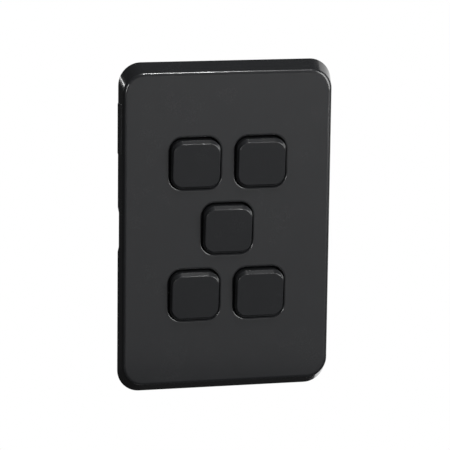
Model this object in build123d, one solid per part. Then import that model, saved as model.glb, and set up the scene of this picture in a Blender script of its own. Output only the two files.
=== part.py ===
from build123d import *
import math
import os

# Wall switch plate with five rockers, in millimetres.
# It is drawn as seen from the room: x to the right, y up the wall and z out of the wall, from z = 0.
# The last lines turn it upright, so that it faces -Y with +Z up.

# Cover plate
plate_height = 119.0
plate_width = 77.4
plate_corner = 8.0
plate_depth = 5.4
front_height = 112.0
front_width = 75.5
front_corner = 7.5
edge_round = 1.5
face_wall = 1.8
skirt_wall = 1.8

# Five openings, two above, one in the middle and two below
opening_size = 18.5
opening_corner = 4.7
opening_round = 0.8
opening_spacing = 5.3
gang_pitch = opening_size + opening_spacing

# Prising notch in the rim and raised pad on the left wall
notch_length = 16.3
notch_depth = 1.05
notch_run = 2.0
pad_bottom = 27.3
pad_length = 17.9
pad_reach = 3.2
pad_rise = 0.18
pad_root = 0.5

# Hooks and posts that hold the cover on the grid
hook_height = 31.0
hook_length = 8.0
hook_reach = 1.4
hook_depth = 0.9
hook_clearance = 0.3
post_radius = 2.0
post_inset = 9.0

# Grid frame screwed to the wall
grid_thickness = 2.0
grid_gap = 0.5
rim_width = 1.4
rim_height = 0.7
fixing_centres = 84.0
fixing_hole_radius = 2.1
seat_radius = 4.2
seat_floor = 1.1
boss_wall = 1.2
rib_width = 1.2
blank_margin = 4.0

# Rocker
rocker_tilt = 4.5
rocker_proud = 2.2
rocker_face_width = 16.95
rocker_face_height = 15.4
rocker_face_corner = 3.7
rocker_round = 0.35
rocker_wall = 1.4
rocker_side_gap = 0.35
rocker_end_gap = 0.5
rocker_skirt_corner = 4.2
rocker_skirt_end = 0.2
shoulder_rise = 0.8
shoulder_round = 0.25
web_thickness = 1.2
pivot_level = 2.0
trunnion_radius = 0.9
trunnion_grip = 1.2
running_clearance = 0.05

# Plunger and spring in the rocker's stem
stem_wall = 1.0
stem_length = 6.5
plunger_radius = 1.6
plunger_reach = 10.0
plunger_length = 6.0
plunger_nose = 1.2
plunger_wall = 0.5
spring_wire = 0.36
spring_turns = 3
spring_steps = 10
spring_clearance = 0.08
spring_length = 6.2

# Rocking contact arm and the contacts that it meets
tip_gap = 0.1
arm_tilt = 6.5
arm_thickness = 0.8
arm_width = 4.6
arm_length = 13.4
saddle_radius = 1.25
fulcrum_radius = 0.6
contact_radius = 1.1
contact_height = 0.6
contact_round = 0.15
contact_offset = 5.5
contact_gap = 0.05

# Brass terminals
strip_thickness = 0.8
block_size = 4.8
block_length = 5.4
block_inset = 4.6
tunnel_width = 2.8
tunnel_length = 2.8
tunnel_floor = 0.9
tunnel_end = 0.8
screw_radius = 1.3
screw_length = 3.6
screw_proud = 0.7
screw_slot = 0.5
screw_slot_depth = 0.6
screw_chamfer = 0.25
thread_clearance = 0.03

# Switch housing
body_gap = 2.0
body_corner = 1.0
cavity_clearance = 0.5
flange_gap = 0.6
flange_thickness = 1.4
aperture_clearance = 0.1
floor_wall = 1.6
tower_wall = 1.2
tower_proud = 1.2
tower_corner = 0.8
rear_round = 0.6
pocket_clearance = 0.05
barb_length = 7.0
barb_reach = 0.6
barb_height = 1.6

# Sizes that follow from the ones above
inner_face = plate_depth - face_wall
front_plane = plate_depth + rocker_proud
rocker_shoulder = plate_depth + shoulder_rise
rocker_width = opening_size - 2 * rocker_side_gap
rocker_height = opening_size - 2 * rocker_end_gap
body_size = gang_pitch - body_gap
cavity_size = rocker_width + 2 * cavity_clearance
bore_radius = plunger_radius + running_clearance
stem_radius = bore_radius + stem_wall
plunger_bore = plunger_radius - plunger_wall
tip_depth = plunger_reach - pivot_level
stem_end = stem_length - pivot_level
spring_end = tip_depth - plunger_nose - plunger_wall
spring_start = spring_end - spring_length
arm_front = tip_depth + tip_gap
arm_axis = arm_front + arm_thickness + fulcrum_radius
arm_contact_end = arm_front + arm_thickness + contact_height - arm_axis
closing = math.radians(arm_tilt)
contact_edge = contact_offset + contact_radius
contact_travel = contact_edge * math.sin(closing) + arm_contact_end * math.cos(closing)
fixed_contact_front = arm_axis + contact_travel + contact_gap
strip_front = fixed_contact_front + contact_height
floor_depth = strip_front + strip_thickness
block_end = floor_depth + block_length
tower_end = block_end + tower_proud
block_centre = body_size / 2 - block_inset
tunnel_start = floor_depth + tunnel_floor

gangs = {
    "top_left": (-gang_pitch / 2, gang_pitch),
    "top_right": (gang_pitch / 2, gang_pitch),
    "centre": (0, 0),
    "bottom_left": (-gang_pitch / 2, -gang_pitch),
    "bottom_right": (gang_pitch / 2, -gang_pitch),
}

# Where each terminal block stands in its housing, and which way its wire comes in
block_places = {
    "common": ((block_centre, 0), 0),
    "upper": ((-block_centre, block_centre), 90),
    "lower": ((-block_centre, -block_centre), -90),
}


def at_gang(name):
    x, y = gangs[name]
    return Pos(x, y, 0)


def share(rear, front, out):
    """A size of the cover's outline at a distance out from the wall."""
    return rear + (front - rear) * out / plate_depth


def outline(out, inset):
    """The cover's outline at a distance out from the wall, moved in by inset."""
    return Pos(0, 0, out) * RectangleRounded(
        share(plate_width, front_width, out) - 2 * inset,
        share(plate_height, front_height, out) - 2 * inset,
        share(plate_corner, front_corner, out) - inset,
    )


def cross_rod(radius, length):
    """A round rod along x, centred."""
    return Rot(0, 90, 0) * Cylinder(radius, length)


def block_from(low, high):
    """A box between two corners."""
    size = Vector(*high) - Vector(*low)
    centre = (Vector(*high) + Vector(*low)) / 2
    return Pos(centre) * Box(size.X, size.Y, size.Z)


def cover_plate():
    shell = loft([outline(0, 0), outline(plate_depth, 0)], ruled=True)
    front = shell.faces().sort_by(Axis.Z)[-1]
    shell = fillet(front.edges(), edge_round)
    shell -= loft([outline(0, skirt_wall), outline(inner_face, skirt_wall)], ruled=True)
    for name in gangs:
        hole = RectangleRounded(opening_size, opening_size, opening_corner)
        shell -= at_gang(name) * extrude(hole, plate_depth + face_wall)
    front = shell.faces().sort_by(Axis.Z)[-1]
    shell = fillet(front.inner_wires().edges(), opening_round)
    return shell + cover_pad() + cover_hooks() + cover_posts() - prising_notch()


def prising_notch():
    """A shallow gap in the rim, half way up the left side, for a screwdriver."""
    half = notch_length / 2
    run = half - notch_run
    mouth = Polygon((-half, 0), (half, 0), (run, notch_depth), (-run, notch_depth), align=None)
    left = -plate_width / 2
    return Plane.YZ.offset(left - pad_rise) * extrude(mouth, skirt_wall * 2 + pad_rise)


def cover_pad():
    """A thin raised pad that follows the slope of the left wall."""
    lower = -plate_width / 2
    upper = -share(plate_width, front_width, pad_reach) / 2
    section = Polygon(
        (lower - pad_rise, 0),
        (lower + pad_root, 0),
        (upper + pad_root, pad_reach),
        (upper - pad_rise, pad_reach),
        align=None,
    )
    return Pos(0, pad_bottom, 0) * Rot(90, 0, 0) * extrude(section, -pad_length)


def cover_hooks():
    """Four ledges inside the side walls that catch under the edge of the grid."""
    inner = share(plate_width, front_width, hook_depth) / 2 - skirt_wall
    ledge = block_from(
        (inner - hook_reach, -hook_length / 2, 0), (inner + skirt_wall / 2, hook_length / 2, hook_depth)
    )
    places = [(side, level) for side in (0, 180) for level in (-hook_height, hook_height)]
    return [Pos(0, level, 0) * Rot(0, 0, side) * ledge for side, level in places]


def cover_posts():
    """Four round posts that stand the cover off the grid."""
    across = front_width / 2 - post_inset
    up = front_height / 2 - post_inset
    post = extrude(Circle(post_radius), inner_face - grid_thickness + face_wall / 2)
    return [Pos(x, y, grid_thickness) * post for x in (-across, across) for y in (-up, up)]


def grid_frame():
    inset = skirt_wall + grid_gap
    edge = outline(grid_thickness, inset)
    frame = extrude(edge, -grid_thickness)
    frame += extrude(edge - outline(grid_thickness, inset + rim_width), rim_height)
    inner = plate_width / 2 - inset - rim_width
    for level in (-fixing_centres / 2, fixing_centres / 2):
        boss = Circle(seat_radius + boss_wall) + Rectangle(2 * inner, rib_width)
        frame += Pos(0, level, grid_thickness) * extrude(boss, rim_height)
        frame -= Pos(0, level, 0) * extrude(Circle(fixing_hole_radius), grid_thickness)
        frame -= Pos(0, level, seat_floor) * extrude(Circle(seat_radius), grid_thickness)
    for name in gangs:
        side = body_size + 2 * aperture_clearance
        frame -= at_gang(name) * extrude(RectangleRounded(side, side, body_corner), grid_thickness)
    return frame - grid_blanks(inner) - grid_hook_slots()


def grid_blanks(inner):
    """Two open places beside the middle switch, between its housing and the rim."""
    near = body_size / 2 + blank_margin
    far = inner - blank_margin
    height = 2 * (gang_pitch - near)
    blank = extrude(RectangleRounded(far - near, height, body_corner), grid_thickness)
    return [Pos(side * (near + far) / 2, 0, 0) * blank for side in (-1, 1)]


def grid_hook_slots():
    """Steps in the rear of the grid's edge where the cover's hooks catch."""
    inner = share(plate_width, front_width, hook_depth) / 2 - skirt_wall
    slot = block_from(
        (inner - hook_reach - hook_clearance, -hook_length / 2 - hook_clearance, 0),
        (inner + skirt_wall, hook_length / 2 + hook_clearance, hook_depth),
    )
    places = [(side, level) for side in (0, 180) for level in (-hook_height, hook_height)]
    return [Pos(0, level, 0) * Rot(0, 0, side) * slot for side, level in places]


def housing():
    """A moulded cup, open to the front, with a shrouded tower for each terminal behind it."""
    depth = floor_depth + floor_wall
    flange = RectangleRounded(gang_pitch - flange_gap, gang_pitch - flange_gap, body_corner)
    cup = Pos(0, 0, grid_thickness) * extrude(flange, flange_thickness)
    cup += Pos(0, 0, grid_thickness) * extrude(
        RectangleRounded(body_size, body_size, body_corner), -depth - grid_thickness
    )
    cup = fillet(cup.faces().sort_by(Axis.Z)[0].edges(), rear_round)
    tower_side = block_size + 2 * (pocket_clearance + tower_wall)
    tower = RectangleRounded(tower_side, tower_side, tower_corner)
    for (x, y), _ in block_places.values():
        cup += Pos(x, y, -floor_depth) * extrude(tower, floor_depth - tower_end)
    mouth = grid_thickness + flange_thickness
    cavity = RectangleRounded(cavity_size, cavity_size, body_corner)
    cup -= Pos(0, 0, mouth) * extrude(cavity, -floor_depth - mouth)
    pocket_side = block_size + 2 * pocket_clearance
    for (x, y), turn in block_places.values():
        pocket = extrude(Rectangle(pocket_side, pocket_side), floor_depth - tower_end)
        cup -= Pos(x, y, -floor_depth) * pocket
        cup -= Pos(x, y, 0) * Rot(0, 0, turn) * wire_way(block_size / 2 + pocket_clearance + tower_wall)
    cup -= Pos(0, 0, pivot_level) * cross_rod(trunnion_radius + running_clearance, body_size)
    return cup + housing_barbs()


def housing_barbs():
    """Two snap wedges, above and below, that hold the housing behind the grid."""
    wedge = Polygon((0, 0), (barb_reach, 0), (0, -barb_height), align=None)
    barb = Plane.YZ.offset(-barb_length / 2) * extrude(wedge, barb_length)
    return [Rot(0, 0, turn) * Pos(0, body_size / 2, 0) * barb for turn in (0, 180)]


def wire_way(reach):
    """The space that a wire takes beside a terminal's screw, open towards +x."""
    half = tunnel_width / 2
    return block_from(
        (tunnel_end - block_size / 2, -half, -tunnel_start - tunnel_length), (reach, half, -tunnel_start)
    )


def rocker():
    """A hollow cap with two trunnions and a stem, drawn level."""
    skirt = RectangleRounded(rocker_width, rocker_height, rocker_skirt_corner)
    skirt = Pos(0, 0, rocker_shoulder) * skirt
    face = RectangleRounded(rocker_face_width, rocker_face_height, rocker_face_corner)
    cap = loft([skirt, Pos(0, 0, front_plane) * face], ruled=True)
    cap = fillet(cap.faces().sort_by(Axis.Z)[-1].edges(), rocker_round)
    cap += extrude(skirt, rocker_skirt_end - rocker_shoulder)
    shoulder = cap.edges().filter_by_position(Axis.Z, rocker_shoulder, rocker_shoulder)
    cap = fillet(shoulder, shoulder_round)
    cap -= rocker_hollow()
    cap += rocker_stem()
    cap += rocker_trunnions()
    bore_depth = stem_end - spring_start
    cap -= Pos(0, 0, -stem_end) * extrude(Circle(bore_radius), bore_depth)
    return cap


def rocker_hollow():
    """The straight space inside the cap, open to the rear."""
    corner = rocker_skirt_corner - rocker_wall
    both = 2 * rocker_wall
    space = RectangleRounded(rocker_width - both, rocker_height - both, corner)
    return Pos(0, 0, rocker_skirt_end) * extrude(space, front_plane - rocker_wall - rocker_skirt_end)


def rocker_stem():
    """The round stem that holds the plunger, with a web to each side wall."""
    top = front_plane - rocker_wall / 2
    stem = Pos(0, 0, -stem_end) * extrude(Circle(stem_radius), stem_end + top)
    half = rocker_width / 2 - rocker_wall / 2
    web = web_thickness / 2
    return stem + block_from((-half, -web, rocker_skirt_end), (half, web, top))


def rocker_trunnions():
    """A round pin on each side wall, on the axis that the rocker tilts about."""
    root = rocker_width / 2 - rocker_wall / 2
    end = rocker_width / 2 + cavity_clearance + trunnion_grip
    pin = cross_rod(trunnion_radius, end - root)
    return [Pos(side * (root + end) / 2, 0, pivot_level) * pin for side in (-1, 1)]


def plunger():
    """A round-nosed cap that slides in the stem and holds the spring."""
    body = Pos(0, 0, -tip_depth) * extrude(Circle(plunger_radius), plunger_length)
    body = fillet(body.faces().sort_by(Axis.Z)[0].edges(), plunger_nose)
    return body - Pos(0, 0, -spring_end) * extrude(Circle(plunger_bore), plunger_length)


def spring():
    """A coil of square wire between the stem's floor and the plunger's."""
    radius = plunger_bore - spring_clearance - spring_wire / 2
    rise = (spring_length - spring_wire) / (spring_turns * spring_steps)
    sections = []
    for step in range(spring_turns * spring_steps + 1):
        level = spring_wire / 2 - spring_end + rise * step
        place = Rot(0, 0, 360 * step / spring_steps) * Pos(radius, 0, level) * Rot(90, 0, 0)
        sections.append(place * Rectangle(spring_wire, spring_wire))
    return loft(sections, ruled=True)


def contact_arm():
    """A brass see-saw with a saddle for its fulcrum, drawn level."""
    arm = Pos(0, 0, -arm_front - arm_thickness / 2) * Box(arm_width, arm_length, arm_thickness)
    saddle = cross_rod(saddle_radius, arm_width)
    saddle &= Pos(0, 0, saddle_radius / 2) * Box(arm_width, 2 * saddle_radius, saddle_radius)
    arm += Pos(0, 0, -arm_axis) * saddle
    return arm - Pos(0, 0, -arm_axis) * cross_rod(fulcrum_radius + running_clearance, arm_width)


def contact_pair(seat, way):
    """Two silver contacts, above and below, that stand on a face at a depth and point one way."""
    button = extrude(Circle(contact_radius), way * contact_height)
    ends = button.faces().sort_by(Axis.Z)
    button = fillet((ends[-1] if way > 0 else ends[0]).edges(), contact_round)
    return Compound([Pos(0, up, -seat) * button for up in (-contact_offset, contact_offset)])


def terminal_block(name):
    """The clamping block of a terminal, with a way in for the wire and a tapped hole for the screw."""
    (x, y), turn = block_places[name]
    block = extrude(Rectangle(block_size, block_size), -block_length - strip_thickness)
    block = Pos(0, 0, -strip_front) * block
    block -= wire_way(block_size / 2)
    tapping = extrude(Circle(screw_radius + thread_clearance), block_length - tunnel_floor)
    block -= Pos(0, 0, -block_end) * tapping
    return Pos(x, y, 0) * Rot(0, 0, turn) * block


def common_terminal():
    """The terminal whose rounded fulcrum carries the contact arm."""
    half = block_size / 2
    side = arm_width / 2
    edge = fulcrum_radius / 2
    strip = block_from((-side, -half, -floor_depth), (block_centre, half, -strip_front))
    blade = block_from((-side, -edge, -strip_front), (side, edge, -arm_axis))
    fulcrum = Pos(0, 0, -arm_axis) * cross_rod(fulcrum_radius, arm_width)
    return terminal_block("common") + strip + blade + fulcrum


def fixed_contact_terminal(name):
    """A terminal with the strip that carries one of the fixed contacts."""
    (x, y), _ = block_places[name]
    side = math.copysign(1, y)
    near = side * (contact_offset - contact_radius)
    far = y + side * block_size / 2
    low, high = sorted((near, far))
    strip = block_from((x, low, -floor_depth), (contact_radius, high, -strip_front))
    return terminal_block(name) + strip


def terminal_screw(name):
    """A slotted clamping screw."""
    x, y = block_places[name][0]
    screw = extrude(Circle(screw_radius), screw_length)
    screw = chamfer(screw.edges().filter_by(GeomType.CIRCLE), screw_chamfer)
    half = screw_slot / 2
    screw -= block_from((-screw_radius, -half, 0), (screw_radius, half, screw_slot_depth))
    return Pos(x, y, -block_end - screw_proud) * screw


def tilted(shape, level, angle):
    """A shape turned about the axis along x at a level out from the wall."""
    return Pos(0, 0, level) * Rot(angle, 0, 0) * Pos(0, 0, -level) * shape


parts = {"cover_plate": cover_plate(), "grid_frame": grid_frame()}
gang_pieces = {
    "housing": housing(),
    "rocker": tilted(rocker(), pivot_level, rocker_tilt),
    "plunger": tilted(plunger(), pivot_level, rocker_tilt),
    "spring": tilted(spring(), pivot_level, rocker_tilt),
    "contact_arm": tilted(contact_arm(), -arm_axis, -arm_tilt),
    "moving_contacts": tilted(contact_pair(arm_front + arm_thickness, -1), -arm_axis, -arm_tilt),
    "fixed_contacts": contact_pair(strip_front, 1),
    "common_terminal": common_terminal(),
    "upper_terminal": fixed_contact_terminal("upper"),
    "lower_terminal": fixed_contact_terminal("lower"),
    "terminal_screws": Compound([terminal_screw(name) for name in block_places]),
}
for gang in gangs:
    for piece, shape in gang_pieces.items():
        parts[f"{piece}_{gang}"] = at_gang(gang) * shape

os.makedirs("parts", exist_ok=True)
for name, shape in parts.items():
    export_step(Plane.XZ.location * shape, f"parts/{name}.step")
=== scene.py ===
import math

import bmesh
import bpy
from mathutils import Matrix, Vector


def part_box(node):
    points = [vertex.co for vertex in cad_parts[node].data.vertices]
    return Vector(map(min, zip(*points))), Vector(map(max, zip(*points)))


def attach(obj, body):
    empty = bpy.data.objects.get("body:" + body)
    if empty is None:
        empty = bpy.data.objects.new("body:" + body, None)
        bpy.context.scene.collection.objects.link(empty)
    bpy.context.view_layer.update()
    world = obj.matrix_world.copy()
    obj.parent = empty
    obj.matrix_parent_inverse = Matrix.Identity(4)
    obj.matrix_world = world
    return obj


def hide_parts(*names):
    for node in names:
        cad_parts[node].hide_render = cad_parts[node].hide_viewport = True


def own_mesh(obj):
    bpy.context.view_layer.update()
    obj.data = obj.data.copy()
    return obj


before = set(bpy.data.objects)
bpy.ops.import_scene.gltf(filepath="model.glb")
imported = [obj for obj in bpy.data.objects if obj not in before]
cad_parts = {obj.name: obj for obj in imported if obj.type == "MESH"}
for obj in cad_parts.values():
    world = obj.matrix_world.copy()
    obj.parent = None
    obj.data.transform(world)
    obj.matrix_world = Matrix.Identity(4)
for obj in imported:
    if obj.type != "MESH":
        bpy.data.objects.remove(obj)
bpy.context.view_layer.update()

# Grid frame
# The flat frame that two screws hold to the wall. It is moulded in pale grey polycarbonate, with a
# rim that the cover slips over and a square window for each switch housing.


class Socket:
    """An output in a node tree. Sums and products of sockets and numbers become Math nodes."""

    def __init__(self, web, output):
        self.web = web
        self.output = output

    def maths(self, operation, first, second):
        return self.web.node("Math", {"operation": operation}, {0: first, 1: second})

    def __add__(self, other):
        return self.maths("ADD", self, other)

    def __sub__(self, other):
        return self.maths("SUBTRACT", self, other)

    def __rsub__(self, other):
        return self.maths("SUBTRACT", other, self)

    def __mul__(self, other):
        return self.maths("MULTIPLY", self, other)

    def __gt__(self, other):
        return self.maths("GREATER_THAN", self, other)

    __radd__ = __add__
    __rmul__ = __mul__


class Web:
    """The node tree of one finish."""

    def __init__(self, owner):
        owner.use_nodes = True
        self.owner = owner
        self.tree = owner.node_tree
        self.tree.nodes.clear()

    def node(self, kind, settings=None, sockets=None, output=0):
        made = self.tree.nodes.new("ShaderNode" + kind)
        for name, value in (settings or {}).items():
            setattr(made, name, value)
        for name, value in (sockets or {}).items():
            if isinstance(value, Socket):
                self.tree.links.new(value.output, made.inputs[name])
            else:
                made.inputs[name].default_value = value
        return Socket(self, made.outputs[output] if made.outputs else None)

    def shade(self, amount, first, second):
        """A colour between two, by an amount from 0 to 1."""
        return self.node("Mix", {"data_type": "RGBA"}, {0: amount, 6: first, 7: second}, 2)

    def noise(self, place, size, detail):
        """Soft cloudy variation from 0 to 1, with patches about one size across."""
        return self.node("TexNoise", {}, {"Vector": place, "Scale": 1 / size, "Detail": detail})


def colour(red, green, blue, strength=1.0):
    """A screen colour from 0 to 255 as the light that a shader takes."""
    shares = [channel / 255 for channel in (red, green, blue)]
    linear = [s / 12.92 if s <= 0.04045 else ((s + 0.055) / 1.055) ** 2.4 for s in shares]
    return (*(value * strength for value in linear), 1.0)


def moulded(name, tint, roughness, grain, relief, gloss=0.0):
    """Moulded plastic: an even colour, faint flow clouds, and the fine grain of the mould's surface."""
    web = Web(bpy.data.materials.new(name))
    place = web.node("TexCoord", output="Object")
    cloud = web.noise(place, 0.014, 3)
    speck = web.noise(place, grain, 2)
    paint = web.shade(cloud, colour(*tint, strength=0.95), colour(*tint, strength=1.05))
    bump = web.node("Bump", {}, {"Height": speck, "Strength": 0.5, "Distance": relief})
    shader = web.node("BsdfPrincipled", {}, {
        "Base Color": paint,
        "Roughness": roughness + 0.06 * (cloud - 0.5) + 0.05 * (speck - 0.5),
        "Normal": bump,
        "Coat Weight": gloss,
        "Coat Roughness": 0.07,
    })
    web.node("OutputMaterial", {}, {"Surface": shader})
    return web.owner


def dress(node, finish):
    """Gives a piece of the frame its finish."""
    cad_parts[node].material_slots[0].material = finish


grid_grey = moulded("grid_grey", (196, 197, 196), 0.42, 0.0004, 0.00002)
dress("grid_frame", grid_grey)

# Switch housings
# One cup behind each rocker, moulded in dark heat-proof nylon and snapped into the grid's windows.
# Its rear carries a shrouded tower for each of the three terminals.

gangs = ["top_left", "top_right", "centre", "bottom_left", "bottom_right"]
housing_nylon = moulded("housing_nylon", (58, 59, 61), 0.5, 0.0006, 0.00003)
for gang in gangs:
    dress(f"housing_{gang}", housing_nylon)

# Terminals
# Three brass terminals in each housing, pressed from strip and sawn from bar. One carries the rocking
# arm, and the other two carry the contacts that it switches between.


def brass_finish(name, tint, roughness):
    """Rolled brass: fine rolling lines along the strip, and a faint brown tarnish in patches."""
    web = Web(bpy.data.materials.new(name))
    place = web.node("TexCoord", output="Object")
    stretched = web.node("Mapping", {}, {"Vector": place, "Scale": (1, 1, 0.06)})
    lines = web.noise(stretched, 0.00012, 2)
    tarnish = web.noise(place, 0.004, 4)
    metal = web.shade(tarnish, colour(*tint), colour(*tint, strength=0.72))
    bump = web.node("Bump", {}, {"Height": lines, "Strength": 0.3, "Distance": 0.00001})
    shader = web.node("BsdfPrincipled", {}, {
        "Base Color": metal,
        "Metallic": 1.0,
        "Roughness": roughness + 0.12 * (tarnish - 0.5) + 0.1 * (lines - 0.5),
        "Normal": bump,
    })
    web.node("OutputMaterial", {}, {"Surface": shader})
    return web.owner


terminal_brass = brass_finish("terminal_brass", (222, 186, 110), 0.32)
for gang in gangs:
    for terminal in ("common", "upper", "lower"):
        dress(f"{terminal}_terminal_{gang}", terminal_brass)

# Terminal screws
# Slotted clamping screws of zinc-plated steel, three to each housing. They turn in the terminals from
# the rear, where their ends stand a little proud.


def plated_finish(name, tint, roughness):
    """Bright plating over turned steel, with a faint cloudy stain."""
    web = Web(bpy.data.materials.new(name))
    place = web.node("TexCoord", output="Object")
    stain = web.noise(place, 0.0015, 4)
    metal = web.shade(stain, colour(*tint), colour(*tint, strength=0.8))
    shader = web.node("BsdfPrincipled", {}, {
        "Base Color": metal,
        "Metallic": 1.0,
        "Roughness": roughness + 0.15 * (stain - 0.5),
    })
    web.node("OutputMaterial", {}, {"Surface": shader})
    return web.owner


def screw_shape(radius, length, pitch, thread_depth, slot_width, slot_depth, facets):
    """A screw along +Z in millimetres: a rolled thread, and two half rounds with the slot between them."""
    shape = bmesh.new()
    root = radius - thread_depth
    places = [(root, 0, -pitch), (radius, 0, -pitch / 2), (root, 0, 0)]
    ridge = [shape.verts.new(place) for place in places]
    flanks = [shape.edges.new(pair) for pair in zip(ridge, ridge[1:])]
    turns = math.ceil(length / pitch) + 1
    bmesh.ops.spin(
        shape, geom=ridge + flanks, axis=(0, 0, 1), dvec=(0, 0, pitch / facets),
        angle=turns * math.tau, steps=turns * facets,
    )
    bmesh.ops.remove_doubles(shape, verts=shape.verts, dist=0.0001)
    thread_end = length - slot_depth
    for level, way in ((0, -1), (thread_end, 1)):
        every = [*shape.verts, *shape.edges, *shape.faces]
        cut = bmesh.ops.bisect_plane(
            shape, geom=every, plane_co=(0, 0, level), plane_no=(0, 0, way), clear_outer=True,
        )
        rim = [edge for edge in cut["geom_cut"] if isinstance(edge, bmesh.types.BMEdge)]
        bmesh.ops.edgeloop_fill(shape, edges=rim)
    for side in (-1, 1):
        old = set(shape.faces)
        lift = Matrix.Translation((0, 0, thread_end))
        bmesh.ops.create_circle(shape, cap_ends=True, radius=root, segments=2 * facets, matrix=lift)
        disc_face = next(face for face in shape.faces if face not in old)
        bmesh.ops.bisect_plane(
            shape, geom=[*disc_face.verts, *disc_face.edges, disc_face],
            plane_co=(0, side * slot_width / 2, thread_end), plane_no=(0, -side, 0), clear_outer=True,
        )
        half_round = [face for face in shape.faces if face not in old]
        raised = bmesh.ops.extrude_face_region(shape, geom=half_round)["geom"]
        corners = [vert for vert in raised if isinstance(vert, bmesh.types.BMVert)]
        bmesh.ops.translate(shape, verts=corners, vec=(0, 0, slot_depth))
        tops = [face for face in raised if isinstance(face, bmesh.types.BMFace)]
        bmesh.ops.bevel(
            shape, geom=[edge for face in tops for edge in face.edges], offset=slot_depth / 5,
            affect="EDGES", segments=2, profile=0.5, material=-1,
        )
    return shape


def finished(name, shape, crease, finish, body, node):
    """Makes a piece of a mesh. It moves with a body and stands for a node of the frame."""
    bmesh.ops.recalc_face_normals(shape, faces=shape.faces)
    for face in shape.faces:
        face.smooth = True
    mesh = bpy.data.meshes.new(name)
    shape.to_mesh(mesh)
    shape.free()
    mesh.set_sharp_from_angle(angle=math.radians(crease))
    mesh.materials.append(finish)
    piece = bpy.data.objects.new(name, mesh)
    bpy.context.scene.collection.objects.link(piece)
    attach(piece, body)
    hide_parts(node)
    return piece


screw_zinc = plated_finish("screw_zinc", (206, 210, 214), 0.3)
millimetre = 0.001
screw_radius = 1.3
reach = screw_radius * millimetre
for gang in gangs:
    low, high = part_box(f"terminal_screws_{gang}")
    level = (low.z + high.z) / 2
    spots = [(high.x - reach, level), (low.x + reach, high.z - reach), (low.x + reach, low.z + reach)]
    screws = bmesh.new()
    for across, up in spots:
        screw = screw_shape(
            screw_radius, (high.y - low.y) / millimetre, pitch=0.45, thread_depth=0.2,
            slot_width=0.5, slot_depth=0.6, facets=24,
        )
        place = (
            Matrix.Translation((across, low.y, up)) @ Matrix.Rotation(math.radians(-90), 4, "X")
            @ Matrix.Scale(millimetre, 4)
        )
        bmesh.ops.transform(screw, matrix=place, verts=screw.verts)
        one = bpy.data.meshes.new("one_screw")
        screw.to_mesh(one)
        screw.free()
        screws.from_mesh(one)
        bpy.data.meshes.remove(one)
    finished(f"screws_{gang}", screws, 20, screw_zinc, "plate", f"terminal_screws_{gang}")

# Contact arms
# A see-saw pressed from brass strip in each housing, which rocks on the edge of the common terminal.
# Small silver contacts are pressed on its two ends and on the strips behind them.

arm_brass = brass_finish("arm_brass", (226, 192, 120), 0.26)
contact_silver = plated_finish("contact_silver", (232, 230, 224), 0.24)
for gang in gangs:
    dress(f"contact_arm_{gang}", arm_brass)
    dress(f"moving_contacts_{gang}", contact_silver)
    dress(f"fixed_contacts_{gang}", contact_silver)

# Plungers and springs
# A round-nosed plunger of natural nylon slides in each rocker's stem and is pushed out by a coil of
# spring steel. Its nose throws the arm over.


def coil_shape(radius, wire, length, end_turns, live_turns, facets):
    """A coil of round wire along +Z in millimetres, from z = 0, with close turns at both ends."""
    shape = bmesh.new()
    start = Matrix.Translation((radius, 0, wire / 2)) @ Matrix.Rotation(math.radians(90), 4, "X")
    bmesh.ops.create_circle(shape, radius=wire / 2, segments=10, matrix=start)
    last = [*shape.verts, *shape.edges]
    close_rise = wire * end_turns
    live_rise = length - wire - 2 * close_rise
    for turns, rise in ((end_turns, close_rise), (live_turns, live_rise), (end_turns, close_rise)):
        steps = turns * facets
        last = bmesh.ops.spin(
            shape, geom=last, axis=(0, 0, 1), dvec=(0, 0, rise / steps),
            angle=turns * math.tau, steps=steps,
        )["geom_last"]
    bmesh.ops.holes_fill(shape, edges=[edge for edge in shape.edges if edge.is_boundary])
    return shape


plunger_nylon = moulded("plunger_nylon", (226, 223, 212), 0.38, 0.0008, 0.00001)
spring_steel = plated_finish("spring_steel", (168, 170, 174), 0.28)
spring_length = 6.2
stem_tilt = math.radians(4.5)
stem_way = Vector((0, math.cos(stem_tilt), math.sin(stem_tilt)))
for gang in gangs:
    dress(f"plunger_{gang}", plunger_nylon)
    low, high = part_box(f"spring_{gang}")
    stem_floor = (low + high) / 2 - stem_way * spring_length * millimetre / 2
    coil = coil_shape(0.84, 0.36, spring_length, end_turns=1, live_turns=4, facets=24)
    place = (
        Matrix.Translation(stem_floor) @ Matrix.Rotation(stem_tilt - math.radians(90), 4, "X")
        @ Matrix.Scale(millimetre, 4)
    )
    bmesh.ops.transform(coil, matrix=place, verts=coil.verts)
    spring = finished(
        f"coil_{gang}", coil, 60, spring_steel, f"rocker_{gang}", f"spring_{gang}",
    )
    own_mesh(spring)

# Rockers
# Hollow caps moulded in anthracite polycarbonate with a polished surface. Each turns on two trunnions
# in its housing and stands a little proud of the cover.

rocker_anthracite = moulded("rocker_anthracite", (46, 47, 49), 0.26, 0.00022, 0.000004, 0.8)
for gang in gangs:
    dress(f"rocker_{gang}", rocker_anthracite)

# Cover plate
# One anthracite moulding that clips over the grid. Its sides flare towards the wall, and its face is
# polished like the rockers.

cover_anthracite = moulded("cover_anthracite", (46, 47, 49), 0.26, 0.00026, 0.000004, 0.8)
dress("cover_plate", cover_anthracite)

# Floor
# A plain pale disc well below the plate.

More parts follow.
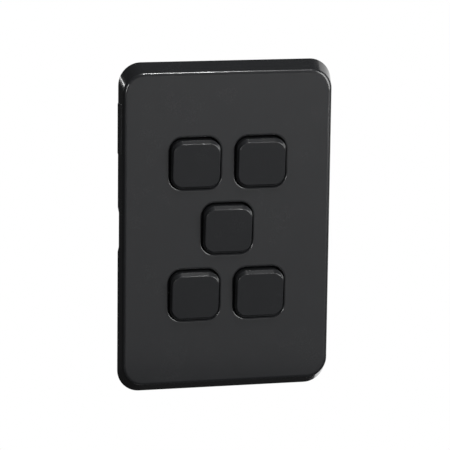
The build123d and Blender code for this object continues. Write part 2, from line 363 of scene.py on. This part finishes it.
floor_radius = 0.3
floor_level = -1.6
disc = bmesh.new()
bmesh.ops.create_circle(disc, cap_ends=True, radius=floor_radius, segments=96)
bmesh.ops.translate(disc, verts=disc.verts, vec=(0, 0, floor_level))
floor_mesh = bpy.data.meshes.new("floor")
disc.to_mesh(floor_mesh)
disc.free()
floor = bpy.data.objects.new("floor", floor_mesh)
bpy.context.scene.collection.objects.link(floor)
floor_paint = Web(bpy.data.materials.new("floor_paint"))
pale = colour(236, 236, 234)
floor_shader = floor_paint.node("BsdfPrincipled", {}, {"Base Color": pale, "Roughness": 0.8})
floor_paint.node("OutputMaterial", {}, {"Surface": floor_shader})
floor_mesh.materials.append(floor_paint.owner)

# Surroundings
# A dim room with a plain white background. Mirror-like pieces see the white only behind the plate on
# the right, where the background stands.

room_light = 0.02
backdrop_way = Vector((0.5, 0.85, 0.15)).normalized()
backdrop_spread = 0.75
world = bpy.data.worlds.new("surroundings")
bpy.context.scene.world = world
room = Web(world)
direction = room.node("TexCoord", output="Generated")
along = room.node("VectorMath", {"operation": "DOT_PRODUCT"}, {0: direction, 1: backdrop_way}, "Value")
seen = room.node("LightPath", output="Is Camera Ray")
mirrored = room.node("LightPath", output="Is Glossy Ray")
through = room.node("LightPath", output="Is Transmission Ray")
white = seen + (mirrored + through) * (along > backdrop_spread)
glow = room.node("Background", {}, {
    "Color": colour(255, 255, 255),
    "Strength": room_light + (1 - room_light) * white,
})
room.node("OutputWorld", {}, {"Surface": glow})

# Lamps
# A large box on the right gives most of the light, and three dim cards in front are what the face and
# the rockers mirror. Three small lamps make the bright edges. The one behind lights the rear, and stands
# where no wall of the cover mirrors it to the camera.


def soft_light(name, place, aim, width, height, power):
    """A rectangular lamp at a place, pointed at another."""
    lamp = bpy.data.lights.new(name, "AREA")
    lamp.shape = "RECTANGLE"
    lamp.size = width
    lamp.size_y = height
    lamp.energy = power
    holder = bpy.data.objects.new(name, lamp)
    beam = Vector(aim) - Vector(place)
    holder.matrix_world = Matrix.Translation(place) @ beam.to_track_quat("-Z", "Y").to_matrix().to_4x4()
    bpy.context.scene.collection.objects.link(holder)


soft_light("sill_card", (0.336, -1.344, -0.01), (0, 0, 0), 0.9, 0.08, 0.44)
soft_light("low_card", (0.336, -1.344, -0.26), (0, 0, 0), 1.3, 0.29, 0.32)
soft_light("floor_card", (0.336, -1.344, -0.68), (0, 0, 0), 1.3, 0.46, 0.1)
soft_light("right_box", (0.99, -0.99, 0.42), (0, 0, 0.42), 0.75, 1.1, 13.2)
soft_light("left_light", (-0.6, -1.2, 0.16), (0, 0, 0), 0.12, 0.36, 2.1)
soft_light("edge_light", (0.11, -0.29, 0.72), (0, 0, 0), 0.14, 0.04, 1.7)
soft_light("corner_light", (-0.83, 0.49, 0.27), (0, 0, 0), 0.13, 0.13, 0.75)
soft_light("rear_light", (-0.2, 1.25, 0.44), (0, 0, 0), 0.7, 0.7, 9)

# Camera
# It stands to the left of the plate and a little above it, as the photograph was taken.

lens = bpy.data.cameras.new("camera")
lens.sensor_width = 36.0
lens.lens = 214.394
camera = bpy.data.objects.new("camera", lens)
camera_place = (-0.226905, -0.911593, 0.192286)
turn_left = math.radians(-14.0064)
look_down = math.radians(90 - 11.5630)
roll = math.radians(0.6863)
camera.matrix_world = (
    Matrix.Translation(camera_place)
    @ Matrix.Rotation(turn_left, 4, "Z")
    @ Matrix.Rotation(look_down, 4, "X")
    @ Matrix.Rotation(roll, 4, "Z")
)
bpy.context.scene.collection.objects.link(camera)
bpy.context.scene.camera = camera
bpy.context.scene.view_settings.view_transform = "Standard"
